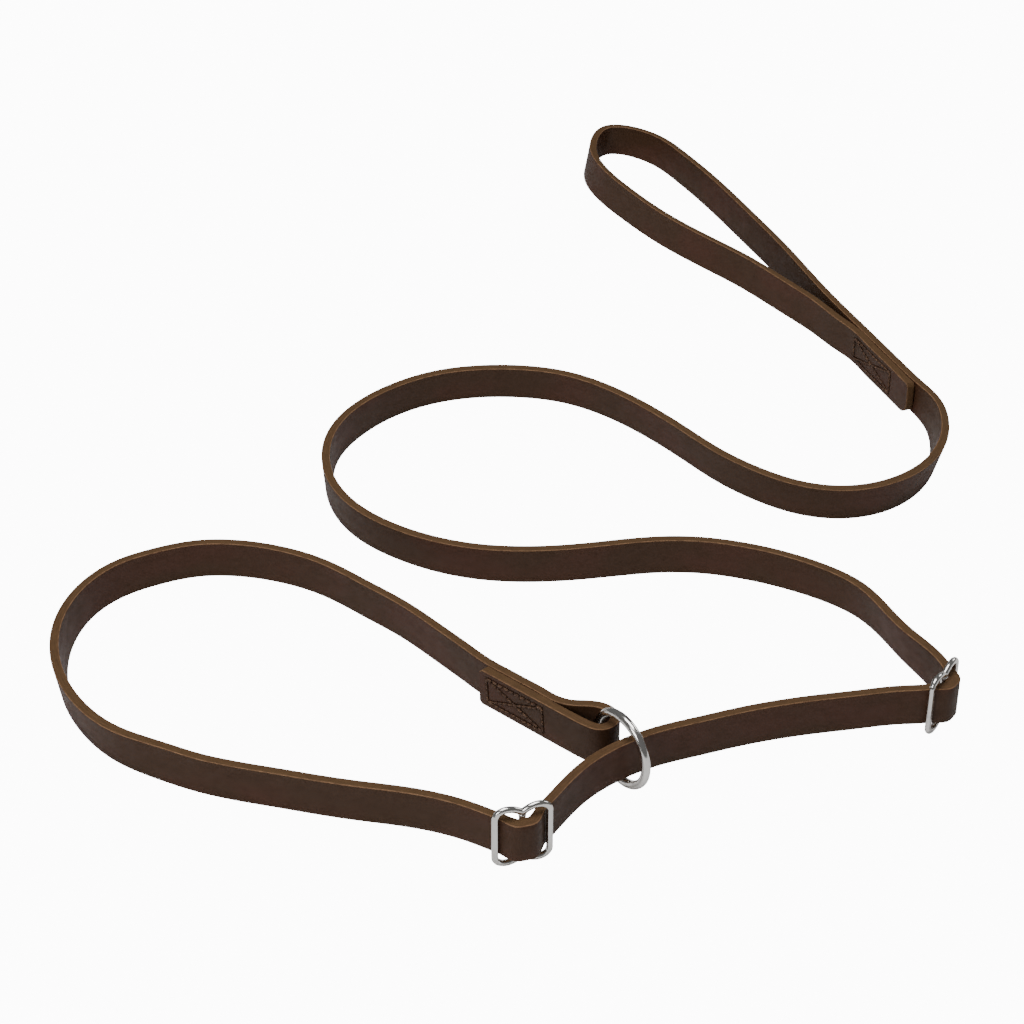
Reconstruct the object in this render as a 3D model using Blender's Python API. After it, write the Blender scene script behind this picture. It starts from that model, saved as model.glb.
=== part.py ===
"""Leather slip lead: a hand loop, a long lead, an O-ring and two wire slides.

One leather strap, laid on its edge, makes the whole lead. Its upper end is folded back and
sewn into a hand loop. Its lower end is folded round the O-ring and sewn, and the lead runs
back through the ring, so that the lower part closes into a neck loop. Each wire slide is
threaded on the strap between its outer bars and its middle bar, as a stop.

Units are metres and +Z is up. The strap's lower edge stands on z = 0, apart from the
stretches that the ring and the slides hold up.
"""

from math import asin, atan2, ceil, cos, hypot, pi, radians, sin, sqrt

import bmesh
import bpy
import numpy as np
from mathutils import Matrix, Vector

# --- Driving dimensions -----------------------------------------------------------------

STRAP_WIDTH = 0.015
STRAP_THICKNESS = 0.0034
CLEARANCE = 0.0003  # gap between two pieces that touch

RING_ROOM = 0.0080  # the ring's inner diameter, over the strap's width
RING_WIRE = 0.0032
WIRE_AT_FOLD = (0.0247, -0.2111)  # where the ring's wire passes the folded end's lower edge
RING_HEADING = -54.0  # degrees from +X, of the ring's own plane

SLIDE_WIRE = 0.0023
SLIDE_PITCH = 0.0092  # middle bar to outer bar
SLIDE_ROOM = 0.0050  # height inside a lobe, at its crown, over the strap's width
SLIDE_PINCH = 0.0022  # how far the frame dips from a lobe's crown to the middle bar
SLIDE_CORNER_DROP = 0.0032  # how far a lobe falls from its crown to its outer bar
SLIDE_CROWN = 0.0054  # middle bar to a lobe's crown
BULGE_FORWARD = 0.0004  # how far the bulge stands off the middle bar

# Each slide's middle, the heading of the strap through it in degrees from +X, and how far the
# strap turns from that heading, towards its bulging side, before and after the slide.
LEAD_STOP = {"centre": (0.1431, -0.1876), "heading": -124.0, "before": 45.0, "after": 45.0}
NECK_STOP = {"centre": (-0.0027, -0.2594), "heading": 197.0, "before": 36.0, "after": 45.0}

THREAD = 0.0008
SEAM_MARGIN = 0.0022  # from the strap's edge to the nearest stitch
HAND_SEAM_LENGTH = 0.032
HAND_SEAM_TAIL = 0.0145  # from the last stitch to the tail's cut end
RING_SEAM_LENGTH = 0.028
RING_SEAM_TAIL = 0.004

# The leather bends anywhere along its length. These are the middles of its two tightest turns.
FAR_TURN_AXIS = (-0.040, -0.030)
HAND_TURN_AXIS = (0.128, -0.012)

# --- Route of the strap -----------------------------------------------------------------
# (x, y, height of the lower edge, lean of the upper edge to the left of travel in degrees)

HAND_LOOP = [
    (0.1345, 0.0735, 0.0, -2),
    (0.1284, 0.0840, 0.0, -4),
    (0.1218, 0.0940, 0.0, -6),
    (0.114, 0.105, 0.0, -7),
    (0.099, 0.126, 0.0, -8),
    (0.082, 0.146, 0.0, -8),
    (0.064, 0.168, 0.0, -9),
    (0.047, 0.194, 0.0, -12),
    (0.0335, 0.2215, 0.0, -14),
    (0.0318, 0.248, 0.0, -9),
    (0.0422, 0.265, 0.0, -1),
    (0.058, 0.2585, 0.0, 6),
    (0.074, 0.2365, 0.0, 8),
    (0.088, 0.207, 0.0, 9),
    (0.103, 0.171, 0.0, 8),
    (0.117, 0.136, 0.0, 6),
    (0.1290, 0.1030, 0.0, 3),
    (0.1378, 0.0810, 0.0, 1),
]
HAND_SEAM = [  # the run under the sewn tail, from the loop's side; straight
    (0.1449, 0.0640, 0.0, 0),
    (0.1494, 0.0526, 0.0, 0),
    (0.1539, 0.0412, 0.0, 0),
    (0.1584, 0.0298, 0.0, 0),
    (0.1629, 0.0184, 0.0, 1),
]
HAND_TURN = [
    (0.1661, 0.0060, 0.0, 8),
    (0.1663, -0.0080, 0.0, 13),
    (0.1625, -0.0255, 0.0, 15),
    (0.1535, -0.0423, 0.0, 13),
]
FAR_RUN = [
    (0.138, -0.0552, 0.0, 9),
    (0.122, -0.059, 0.0, 8),
    (0.107, -0.056, 0.0, 7),
    (0.092, -0.047, 0.0, 6),
    (0.078, -0.034, 0.0, 6),
    (0.063, -0.015, 0.0, 6),
    (0.048, 0.003, 0.0, 6),
    (0.032, 0.018, 0.0, 6),
    (0.015, 0.028, 0.0, 6),
    (-0.002, 0.032, 0.0, 6),
    (-0.020, 0.032, 0.0, 6),
    (-0.038, 0.0275, 0.0, 5),
]
FAR_TURN = [
    (-0.0550, 0.0172, 0.0, 4),
    (-0.0690, 0.0014, 0.0, 0),
    (-0.0777, -0.0175, 0.0, -1),
    (-0.0787, -0.0390, 0.0, -4),
    (-0.0738, -0.0580, 0.0, -5),
    (-0.0640, -0.0738, 0.0, -5),
]
MIDDLE_RUN = [
    (-0.048, -0.0875, 0.0, -5),
    (-0.033, -0.0955, 0.0, -4),
    (-0.018, -0.100, 0.0, -3),
    (0.004, -0.1015, 0.0, -2),
    (0.020, -0.100, 0.0, -1),
    (0.035, -0.0975, 0.0, 0),
    (0.050, -0.0955, 0.0, 0),
    (0.066, -0.096, 0.0, 0),
    (0.081, -0.0995, 0.0, 0),
    (0.096, -0.1055, 0.0, 0),
    (0.110, -0.1140, 0.0004, -2),
    (0.1225, -0.1265, 0.0014, -5),
]
INTO_LEAD_STOP = [
    (0.1300, -0.1410, 0.0024, -8),
    (0.1358, -0.1560, 0.0034, -7),
]
OUT_OF_LEAD_STOP = [
    (0.1275, -0.1925, 0.0044, 0),
]
SLIP_RUN = [
    (0.114, -0.1945, 0.0042, 0),
    (0.100, -0.197, 0.0042, 0),
    (0.086, -0.200, 0.0042, 0),
    (0.072, -0.204, 0.0042, 0),
    (0.057, -0.210, 0.0048, 0),
    (0.0435, -0.216, 0.0056, 0),
    (0.0295, -0.2245, 0.0060, 0),
]
INTO_NECK_STOP = [
    (0.0175, -0.235, 0.0056, 0),
]
OUT_OF_NECK_STOP = [
    (-0.0200, -0.2530, 0.0042, 0),
]
NECK_NEAR = [
    (-0.0310, -0.2475, 0.0034, 0),
    (-0.0425, -0.2435, 0.0026, 0),
    (-0.056, -0.240, 0.0018, 0),
    (-0.070, -0.236, 0.0010, 0),
    (-0.083, -0.232, 0.0004, 0),
    (-0.097, -0.228, 0.0, 0),
    (-0.111, -0.2235, 0.0, 0),
    (-0.125, -0.217, 0.0, 0),
]
NECK_TURN = [
    (-0.1395, -0.2083, 0.0, 5),
    (-0.1540, -0.1927, 0.0, 8),
    (-0.1650, -0.1690, 0.0, 8),
    (-0.1672, -0.1430, 0.0, 6),
    (-0.1595, -0.1200, 0.0, 3),
    (-0.1520, -0.1115, 0.0, 3),
]
NECK_FAR = [
    (-0.140, -0.1037, 0.0, 1),
    (-0.124, -0.098, 0.0, 0),
    (-0.109, -0.098, 0.0, 0),
    (-0.093, -0.102, 0.0, 0),
    (-0.077, -0.110, 0.0, 0),
    (-0.061, -0.123, 0.0, 0),
    (-0.046, -0.137, 0.0006, 0),
    (-0.0320, -0.1535, 0.0016, 0),
    (-0.0222, -0.1660, 0.0026, 0),
]
RING_SEAM = [  # the run under the sewn tail, towards the ring; straight
    (-0.0135, -0.1767, 0.0034, 0),
    (-0.0078, -0.1825, 0.0040, 0),
    (-0.0021, -0.1883, 0.0046, 0),
    (0.0036, -0.1941, 0.0052, 0),
    (0.0093, -0.1999, 0.0058, 0),
]
RING_EYE = [
    (0.0136, -0.2021, 0.0060, 0),
    (0.0191, -0.2030, 0.0063, 0),
    (0.0248, -0.2047, 0.0066, 0),
    (0.0284, -0.2087, 0.0067, 0),
    (0.0281, -0.2136, 0.0067, 0),
    (0.0240, -0.2162, 0.0066, 0),
    (0.0188, -0.2137, 0.0064, 0),
    (0.0136, -0.2090, 0.0061, 0),
]

# --- Sizes that follow from them ----------------------------------------------------------

FOLD_PITCH = STRAP_THICKNESS + CLEARANCE  # between the middles of two layers sewn together
WRAP_RADIUS = SLIDE_WIRE / 2 + CLEARANCE + STRAP_THICKNESS / 2  # strap's middle round a bar
SLIDE_INNER_HEIGHT = STRAP_WIDTH + SLIDE_ROOM
SLIDE_HEIGHT = SLIDE_INNER_HEIGHT + 2 * SLIDE_WIRE
STOP_LIFT = (SLIDE_HEIGHT - STRAP_WIDTH) / 2  # the strap's lower edge inside a slide
BULGE_REACH = min(SLIDE_PITCH - 0.0006, 2 * WRAP_RADIUS / 0.8)  # outer bar to the bulge's front
BULGE_HALF_WIDTH = SLIDE_PITCH - BULGE_REACH
CROSSING_ANGLE = atan2(BULGE_FORWARD, BULGE_REACH) + asin(
    2 * WRAP_RADIUS / hypot(BULGE_REACH, BULGE_FORWARD)
)
RING_BORE = STRAP_WIDTH + RING_ROOM
RING_RADIUS = (RING_BORE + RING_WIRE) / 2

FINE_STEP = 0.0009
COARSE_STEP = 0.0090
TURN_PER_STEP = radians(9)

COLLECTION = "training_leash"


def clear_scene():
    for obj in list(bpy.data.objects):
        bpy.data.objects.remove(obj, do_unlink=True)


def material(name, colour, roughness, metallic=0.0):
    made = bpy.data.materials.new(name)
    made.use_nodes = True
    shader = made.node_tree.nodes["Principled BSDF"]
    shader.inputs["Base Color"].default_value = (*colour, 1.0)
    shader.inputs["Roughness"].default_value = roughness
    shader.inputs["Metallic"].default_value = metallic
    return made


def add(name, mesh_or_curve, finish):
    obj = bpy.data.objects.new(name, mesh_or_curve)
    obj.data.materials.append(finish)
    bpy.data.collections[COLLECTION].objects.link(obj)
    return obj


def pivot(name, place):
    """An empty on a joint's axis, which the moving pieces are parented to."""
    empty = bpy.data.objects.new(name, None)
    empty.empty_display_size = 0.01
    empty.matrix_world = Matrix.Translation(place)
    bpy.data.collections[COLLECTION].objects.link(empty)
    return empty


def hold(piece, axis):
    """Parents a piece to its joint's empty without moving it."""
    bpy.context.view_layer.update()
    placed = piece.matrix_world.copy()
    piece.parent = axis
    piece.matrix_parent_inverse = axis.matrix_world.inverted()
    piece.matrix_world = placed


# --- The strap's path ---------------------------------------------------------------------


def smooth_curve(points):
    """A function of length that runs smoothly through the points: a natural cubic spline."""
    values = np.array(points, float)
    knots = np.concatenate([[0.0], np.cumsum(np.hypot(*np.diff(values[:, :2], axis=0).T))])
    gaps = np.diff(knots)
    count = len(knots)
    system = np.eye(count)
    right = np.zeros_like(values)
    slopes = np.diff(values, axis=0) / gaps[:, None]
    for i in range(1, count - 1):
        system[i, i - 1 : i + 2] = gaps[i - 1], 2 * (gaps[i - 1] + gaps[i]), gaps[i]
        right[i] = 6 * (slopes[i] - slopes[i - 1])
    bends = np.linalg.solve(system, right)

    def at(lengths):
        i = np.clip(np.searchsorted(knots, lengths) - 1, 0, count - 2)
        gap = gaps[i][:, None]
        before = ((knots[i + 1] - lengths) / gaps[i])[:, None]
        after = 1 - before
        sag = (before**3 - before) * bends[i] + (after**3 - after) * bends[i + 1]
        return before * values[i] + after * values[i + 1] + gap**2 / 6 * sag

    return at, knots


def through_slide(stop):
    """The strap's way through a slide: behind an outer bar, over the middle one, behind the other."""
    along = Vector((cos(radians(stop["heading"])), sin(radians(stop["heading"]))))
    front = Vector((-along.y, along.x))
    before = min(radians(stop["before"]), CROSSING_ANGLE)
    after = min(radians(stop["after"]), CROSSING_ANGLE)
    arcs = (  # (along, forward) of the middle of each arc, the side it is on, its first and last turn
        (-SLIDE_PITCH, 0.0, -1, before, CROSSING_ANGLE),
        (-BULGE_HALF_WIDTH, BULGE_FORWARD, 1, -CROSSING_ANGLE, 0.0),
        (0.0, BULGE_FORWARD, 1, 0.0, 0.0),
        (BULGE_HALF_WIDTH, BULGE_FORWARD, 1, 0.0, CROSSING_ANGLE),
        (SLIDE_PITCH, 0.0, -1, -CROSSING_ANGLE, -after),
    )
    points = []
    for forth, forward, side, first, last in arcs:
        middle = Vector(stop["centre"]) + along * forth + front * forward
        count = max(1, ceil((last - first) / TURN_PER_STEP))
        steps = {first + (last - first) * i / count for i in range(count + 1)}
        for turn in sorted(steps):
            reach = front * side * cos(turn) + along * sin(turn)
            place = middle + reach * WRAP_RADIUS
            points.append((place.x, place.y, STOP_LIFT, 0.0))
    return points


def offset_route(points, distance):
    """The same route moved sideways, to the right of travel."""
    values = np.array(points, float)
    ahead = np.gradient(values[:, :2], axis=0)
    ahead /= np.linalg.norm(ahead, axis=1)[:, None]
    moved = values.copy()
    moved[:, 0] += distance * ahead[:, 1]
    moved[:, 1] -= distance * ahead[:, 0]
    return [tuple(row) for row in moved]


def tail_along(points, distance):
    """The folded-back tail's route beside these points, in the tail's own direction of travel."""
    return offset_route(points, distance)[::-1]


# --- Solids -------------------------------------------------------------------------------


def stretches():
    """The strap's stretches in order, as (node name, its route points)."""
    return [
        ("strap_hand_loop", tail_along(HAND_SEAM, FOLD_PITCH) + HAND_LOOP + HAND_SEAM),
        ("strap_hand_turn", HAND_TURN),
        ("strap_far_run", FAR_RUN),
        ("strap_far_turn", FAR_TURN),
        ("strap_middle_run", MIDDLE_RUN),
        ("strap_at_lead_stop", INTO_LEAD_STOP + through_slide(LEAD_STOP) + OUT_OF_LEAD_STOP),
        ("strap_slip_run", SLIP_RUN),
        ("strap_at_neck_stop", INTO_NECK_STOP + through_slide(NECK_STOP) + OUT_OF_NECK_STOP),
        ("strap_neck_near", NECK_NEAR),
        ("strap_neck_turn", NECK_TURN),
        ("strap_neck_far", NECK_FAR),
        ("strap_ring_fold", RING_SEAM + RING_EYE + tail_along(RING_SEAM, FOLD_PITCH)),
    ]


def stations(at, start, end):
    """Lengths along the strap, closer together where it bends."""
    fine = np.arange(start, end, FINE_STEP)
    places = at(fine)[:, :2]
    ahead = np.diff(places, axis=0)
    headings = np.unwrap(np.arctan2(ahead[:, 1], ahead[:, 0]))
    kept = [start]
    last_heading = headings[0]
    for length, heading in zip(fine[1:-1], headings[1:]):
        turned = abs(heading - last_heading)
        if turned > TURN_PER_STEP or length - kept[-1] > COARSE_STEP:
            kept.append(length)
            last_heading = heading
    if end - kept[-1] < FINE_STEP / 2:
        kept.pop()
    return np.array(kept + [end])


def strap_stretch(name, at, start, end, leather):
    """A closed band of leather on its edge, from one length along the route to another."""
    lengths = stations(at, start, end)
    rows = at(lengths)
    step = 1e-5
    ahead = at(lengths + step)[:, :2] - at(lengths - step)[:, :2]
    mesh = bmesh.new()
    previous = None
    for (x, y, lift, lean), (dx, dy) in zip(rows, ahead):
        left = Vector((-dy, dx, 0.0)).normalized()
        tilt = radians(lean)
        up = Vector((0, 0, 1)) * cos(tilt) + left * sin(tilt)
        side = left * cos(tilt) - Vector((0, 0, 1)) * sin(tilt)
        foot = Vector((x, y, max(lift, 0.0) + STRAP_THICKNESS / 2 * abs(sin(tilt))))
        half = side * STRAP_THICKNESS / 2
        rise = up * STRAP_WIDTH
        corners = (foot + half, foot - half, foot - half + rise, foot + half + rise)
        loop = [mesh.verts.new(corner) for corner in corners]
        if previous is None:
            mesh.faces.new(loop)
        else:
            for i in range(4):
                mesh.faces.new((previous[i - 1], previous[i], loop[i], loop[i - 1]))
        previous = loop
    mesh.faces.new(previous[::-1])
    bmesh.ops.recalc_face_normals(mesh, faces=mesh.faces)
    data = bpy.data.meshes.new(name)
    mesh.to_mesh(data)
    mesh.free()
    return add(name, data, leather)


def slide_matrix(stop):
    """X along the strap, Z up, with the slide standing on its lobes."""
    place = Matrix.Translation((*stop["centre"], SLIDE_HEIGHT / 2))
    return place @ Matrix.Rotation(radians(stop["heading"]), 4, "Z")


def lobe_edge():
    """One quarter of the frame's outline, from the outer bar's end over the crown to the pinch."""
    crown = (SLIDE_INNER_HEIGHT + SLIDE_WIRE) / 2
    corner = crown - SLIDE_CORNER_DROP
    reach = SLIDE_PITCH - SLIDE_CROWN
    steps = 5
    points = []
    for i in range(steps):
        turn = pi / 2 * i / steps
        points.append((SLIDE_CROWN + reach * cos(turn), corner + SLIDE_CORNER_DROP * sin(turn)))
    for i in range(steps + 1):
        inward = i / steps
        points.append((SLIDE_CROWN * (1 - inward), crown - SLIDE_PINCH * inward**2))
    return points


def wire(name, points, diameter, cyclic, finish):
    curve = bpy.data.curves.new(name, "CURVE")
    curve.dimensions = "3D"
    curve.bevel_depth = diameter / 2
    curve.bevel_resolution = 2
    curve.use_fill_caps = True
    spline = curve.splines.new("POLY")
    spline.points.add(len(points) - 1)
    for target, point in zip(spline.points, points):
        target.co = (*point, 1.0)
    spline.use_cyclic_u = cyclic
    return add(name, curve, finish)


def slide(prefix, stop, metal):
    """A slide's frame, a figure of eight pinched at its middle, and the bar across the pinch."""
    quarter = lobe_edge()
    top = quarter + [(-x, z) for x, z in quarter[-2::-1]]
    outline = top + [(x, -z) for x, z in top[::-1]]
    frame = wire(f"{prefix}_frame", [(x, 0.0, z) for x, z in outline], SLIDE_WIRE, True, metal)
    pinch = quarter[-1][1]
    slope = atan2(pinch - quarter[-2][1], SLIDE_CROWN - quarter[-2][0])
    end = pinch - SLIDE_WIRE / 2 / cos(slope) - CLEARANCE
    bar = wire(f"{prefix}_bar", [(0, 0, -end), (0, 0, end)], SLIDE_WIRE, False, metal)
    axis = pivot(f"{prefix}_axis", (*stop["centre"], SLIDE_HEIGHT / 2))
    for piece in (frame, bar):
        piece.matrix_world = slide_matrix(stop)
        hold(piece, axis)


def ring(metal):
    heading = radians(RING_HEADING)
    height = RING_RADIUS + RING_WIRE / 2
    outward = Vector((cos(heading), sin(heading), 0))
    fold_height = RING_EYE[3][2]
    reach = sqrt(RING_RADIUS**2 - (height - fold_height) ** 2)
    centre = Vector((*WIRE_AT_FOLD, height)) + outward * reach
    bpy.ops.mesh.primitive_torus_add(
        major_segments=44,
        minor_segments=12,
        major_radius=RING_RADIUS,
        minor_radius=RING_WIRE / 2,
        location=centre,
        rotation=(pi / 2, 0, heading),
    )
    made = bpy.context.object
    made.name = "ring"
    made.data.materials.append(metal)
    made.data.shade_smooth()
    hold(made, pivot("ring_axis", centre - outward * RING_RADIUS))


def seam_plate(name, length, height, thread):
    """A box of stitches with a cross in it, as one flat piece standing on its edge."""
    far_x = length / 2
    far_y = height / 2
    inner_x = far_x - THREAD
    inner_y = far_y - THREAD
    up = THREAD / 2 * hypot(1, inner_y / inner_x)
    along = up * inner_x / inner_y
    near_x = inner_x - along
    near_y = inner_y - up
    outlines = [
        [(-far_x, -far_y), (far_x, -far_y), (far_x, far_y), (-far_x, far_y)],
        [(0, up), (near_x, inner_y), (-near_x, inner_y)],
        [(0, -up), (near_x, -inner_y), (-near_x, -inner_y)],
        [(along, 0), (inner_x, near_y), (inner_x, -near_y)],
        [(-along, 0), (-inner_x, near_y), (-inner_x, -near_y)],
    ]
    curve = bpy.data.curves.new(name, "CURVE")
    curve.dimensions = "2D"
    curve.fill_mode = "BOTH"
    curve.extrude = THREAD / 2
    for outline in outlines:
        spline = curve.splines.new("POLY")
        spline.points.add(len(outline) - 1)
        for target, (x, y) in zip(spline.points, outline):
            target.co = (x, y, 0.0, 1.0)
        spline.use_cyclic_u = True
    return add(name, curve, thread)


def seam(prefix, route, from_end, length, tail, thread):
    """The needle thread on the tail's face and the bobbin thread on the run's face."""
    first = Vector(route[0][:2])
    last = Vector(route[-1][:2])
    ahead = (last - first).normalized()
    start = last - ahead * tail if from_end else first + ahead * tail
    middle = start + ahead * length / 2 * (-1 if from_end else 1)
    across = (middle - first).length / (last - first).length
    lift = route[0][2] + (route[-1][2] - route[0][2]) * across
    right = Vector((ahead.y, -ahead.x))
    off_face = STRAP_THICKNESS / 2 + CLEARANCE + THREAD / 2
    for side, offset in (("needle_thread", FOLD_PITCH + off_face), ("bobbin_thread", -off_face)):
        plate = seam_plate(f"{prefix}_{side}", length, STRAP_WIDTH - 2 * SEAM_MARGIN, thread)
        place = middle + right * offset
        turn = Matrix.Rotation(atan2(ahead.y, ahead.x), 4, "Z") @ Matrix.Rotation(pi / 2, 4, "X")
        plate.matrix_world = Matrix.Translation((*place, lift + STRAP_WIDTH / 2)) @ turn


def strap(leather):
    """The whole strap on one smooth curve, cut into its stretches with a small gap between them."""
    named = stretches()
    points = [point for _, route in named for point in route]
    at, knots = smooth_curve(points)
    first = 0
    for i, (name, route) in enumerate(named):
        last = first + len(route)
        start = knots[first] + (CLEARANCE / 2 if i else 0)
        end = knots[last] - CLEARANCE / 2 if i < len(named) - 1 else knots[-1]
        strap_stretch(name, at, start, end, leather)
        first = last


def hang_on_turns():
    """Parents the far run and what follows it, and the hand loop beyond, to the turns' axes."""
    far_axis = pivot("far_turn_axis", (*FAR_TURN_AXIS, 0.0))
    hand_axis = pivot("hand_turn_axis", (*HAND_TURN_AXIS, 0.0))
    for name in ("strap_far_turn", "strap_far_run"):
        hold(bpy.data.objects[name], far_axis)
    for name in ("strap_hand_turn", "strap_hand_loop"):
        hold(bpy.data.objects[name], hand_axis)
    for side in ("needle_thread", "bobbin_thread"):
        hold(bpy.data.objects[f"hand_seam_{side}"], hand_axis)
    hold(hand_axis, far_axis)


def main():
    clear_scene()
    scene_collection = bpy.context.scene.collection
    scene_collection.children.link(bpy.data.collections.new(COLLECTION))
    layer = bpy.context.view_layer.layer_collection.children[COLLECTION]
    bpy.context.view_layer.active_layer_collection = layer
    leather = material("leather", (0.060, 0.030, 0.016), 0.5)
    metal = material("nickel", (0.72, 0.70, 0.67), 0.15, 1.0)
    thread = material("thread", (0.040, 0.020, 0.012), 0.7)
    strap(leather)
    seam("hand_seam", HAND_SEAM, True, HAND_SEAM_LENGTH, HAND_SEAM_TAIL, thread)
    seam("ring_seam", RING_SEAM, False, RING_SEAM_LENGTH, RING_SEAM_TAIL, thread)
    hang_on_turns()
    ring(metal)
    slide("neck_stop", NECK_STOP, metal)
    slide("lead_stop", LEAD_STOP, metal)


if __name__ == "__main__":
    main()
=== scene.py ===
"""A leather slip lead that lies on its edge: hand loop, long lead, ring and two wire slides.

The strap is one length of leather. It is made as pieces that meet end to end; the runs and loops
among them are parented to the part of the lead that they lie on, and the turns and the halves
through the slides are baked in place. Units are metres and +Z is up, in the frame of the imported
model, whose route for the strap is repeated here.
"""

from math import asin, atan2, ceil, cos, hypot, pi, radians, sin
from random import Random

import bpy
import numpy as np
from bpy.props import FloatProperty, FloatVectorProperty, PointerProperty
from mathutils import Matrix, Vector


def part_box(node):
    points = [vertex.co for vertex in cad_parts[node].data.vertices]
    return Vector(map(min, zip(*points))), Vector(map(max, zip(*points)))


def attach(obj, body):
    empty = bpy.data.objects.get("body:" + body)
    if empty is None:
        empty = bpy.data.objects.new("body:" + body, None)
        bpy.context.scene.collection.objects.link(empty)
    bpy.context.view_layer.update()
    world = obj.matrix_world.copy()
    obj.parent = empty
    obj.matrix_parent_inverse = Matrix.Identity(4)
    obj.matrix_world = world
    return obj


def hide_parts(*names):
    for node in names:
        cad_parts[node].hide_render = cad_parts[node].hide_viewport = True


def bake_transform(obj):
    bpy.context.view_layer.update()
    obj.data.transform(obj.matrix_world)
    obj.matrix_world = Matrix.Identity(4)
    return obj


bl_info = {
    "name": "Leather slip lead",
    "version": (1, 0, 0),
    "blender": (4, 5, 0),
    "location": "3D View > Sidebar > Slip lead",
    "description": "Makes a leather slip lead with its ring, wire slides and sewn seams",
    "category": "Add Mesh",
}

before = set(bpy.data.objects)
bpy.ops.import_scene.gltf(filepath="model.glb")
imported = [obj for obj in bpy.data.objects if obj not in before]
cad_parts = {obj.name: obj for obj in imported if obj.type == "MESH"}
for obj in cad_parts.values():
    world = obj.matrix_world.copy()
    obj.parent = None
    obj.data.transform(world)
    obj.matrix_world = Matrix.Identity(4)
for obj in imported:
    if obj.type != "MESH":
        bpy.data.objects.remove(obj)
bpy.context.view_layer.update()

CLEARANCE = 0.0003  # gap between two pieces that touch
EDGE_ROWS = 4  # rows of faces across each cut edge
GROOVE_WIDTH, GROOVE_DEPTH = 0.00060, 0.00028  # pressed into the leather along a sewn line
HOLE_WIDTH, HOLE_DEPTH = 0.00036, 0.00055
BUNCHING, BUNCHED_REACH = 0.0009, 0.006  # how much thicker, and how far, over a slide's bar
CUT_END_ROUND = 0.0010  # upper corner of a cut end
STANDS_PROUD = 0.00012  # a stitch's middle above the leather

RING_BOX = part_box("ring")
RING_CENTRE = [(low + high) / 2 for low, high in zip(RING_BOX[0][:2], RING_BOX[1][:2])]
RING_HEADING = -54.0  # degrees from +X, of the ring's own plane

SLIDE_INNER_HEIGHT = 0.0200  # inside a lobe, at its crown
SLIDE_PINCH = 0.0022  # how far the frame dips from a lobe's crown to the middle bar
SLIDE_CORNER_DROP = 0.0032  # how far a lobe falls from its crown to its outer bar
SLIDE_CROWN = 0.0054  # middle bar to a lobe's crown
BULGE_HALF_WIDTH = 0.001325  # half the flat front of the strap's bulge over a middle bar
BULGE_FORWARD = 0.0004  # how far the bulge stands off the middle bar

# Each slide's middle, the heading of the strap through it in degrees from +X, and how far the
# strap turns from that heading, towards its bulging side, before and after the slide.
LEAD_STOP = {"centre": (0.1431, -0.1876), "heading": -124.0, "before": 45.0, "after": 45.0}
NECK_STOP = {"centre": (-0.0027, -0.2594), "heading": 197.0, "before": 36.0, "after": 45.0}
STOPS = {"lead_stop": LEAD_STOP, "neck_stop": NECK_STOP}

SEAM_MARGIN = 0.0022  # from the strap's edge to the nearest stitch
HAND_SEAM_LENGTH = 0.032
HAND_SEAM_TAIL = 0.0145  # from the last stitch to the tail's cut end
RING_SEAM_LENGTH = 0.028
RING_SEAM_TAIL = 0.004

# Two points on each turn, where it would start to follow the next body and where it would follow
# that body alone. The turns here are baked in place and follow no body.
HAND_TURN_BEND = ((0.166, 0.003, 0.0), (0.166, -0.0505, 0.0))
FAR_TURN_BEND = ((-0.06, 0.0145, 0.0), (-0.06, -0.0840, 0.0))

# --- Route of the strap -----------------------------------------------------------------
# (x, y, height of the lower edge, lean of the upper edge to the left of travel in degrees)

HAND_LOOP = [
    (0.1345, 0.0735, 0.0, -2),
    (0.1284, 0.0840, 0.0, -4),
    (0.1218, 0.0940, 0.0, -6),
    (0.114, 0.105, 0.0, -7),
    (0.099, 0.126, 0.0, -8),
    (0.082, 0.146, 0.0, -8),
    (0.064, 0.168, 0.0, -9),
    (0.047, 0.194, 0.0, -12),
    (0.0335, 0.2215, 0.0, -14),
    (0.0318, 0.248, 0.0, -9),
    (0.0422, 0.265, 0.0, -1),
    (0.058, 0.2585, 0.0, 6),
    (0.074, 0.2365, 0.0, 8),
    (0.088, 0.207, 0.0, 9),
    (0.103, 0.171, 0.0, 8),
    (0.117, 0.136, 0.0, 6),
    (0.1290, 0.1030, 0.0, 3),
    (0.1378, 0.0810, 0.0, 1),
]
HAND_SEAM = [  # the run under the sewn tail, from the loop's side; straight
    (0.1449, 0.0640, 0.0, 0),
    (0.1494, 0.0526, 0.0, 0),
    (0.1539, 0.0412, 0.0, 0),
    (0.1584, 0.0298, 0.0, 0),
    (0.1629, 0.0184, 0.0, 1),
]
HAND_TURN = [
    (0.1661, 0.0060, 0.0, 8),
    (0.1663, -0.0080, 0.0, 13),
    (0.1625, -0.0255, 0.0, 15),
    (0.1535, -0.0423, 0.0, 13),
]
FAR_RUN = [
    (0.138, -0.0552, 0.0, 9),
    (0.122, -0.059, 0.0, 8),
    (0.107, -0.056, 0.0, 7),
    (0.092, -0.047, 0.0, 6),
    (0.078, -0.034, 0.0, 6),
    (0.063, -0.015, 0.0, 6),
    (0.048, 0.003, 0.0, 6),
    (0.032, 0.018, 0.0, 6),
    (0.015, 0.028, 0.0, 6),
    (-0.002, 0.032, 0.0, 6),
    (-0.020, 0.032, 0.0, 6),
    (-0.038, 0.0275, 0.0, 5),
]
FAR_TURN = [
    (-0.0550, 0.0172, 0.0, 4),
    (-0.0690, 0.0014, 0.0, 0),
    (-0.0777, -0.0175, 0.0, -1),
    (-0.0787, -0.0390, 0.0, -4),
    (-0.0738, -0.0580, 0.0, -5),
    (-0.0640, -0.0738, 0.0, -5),
]
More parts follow.
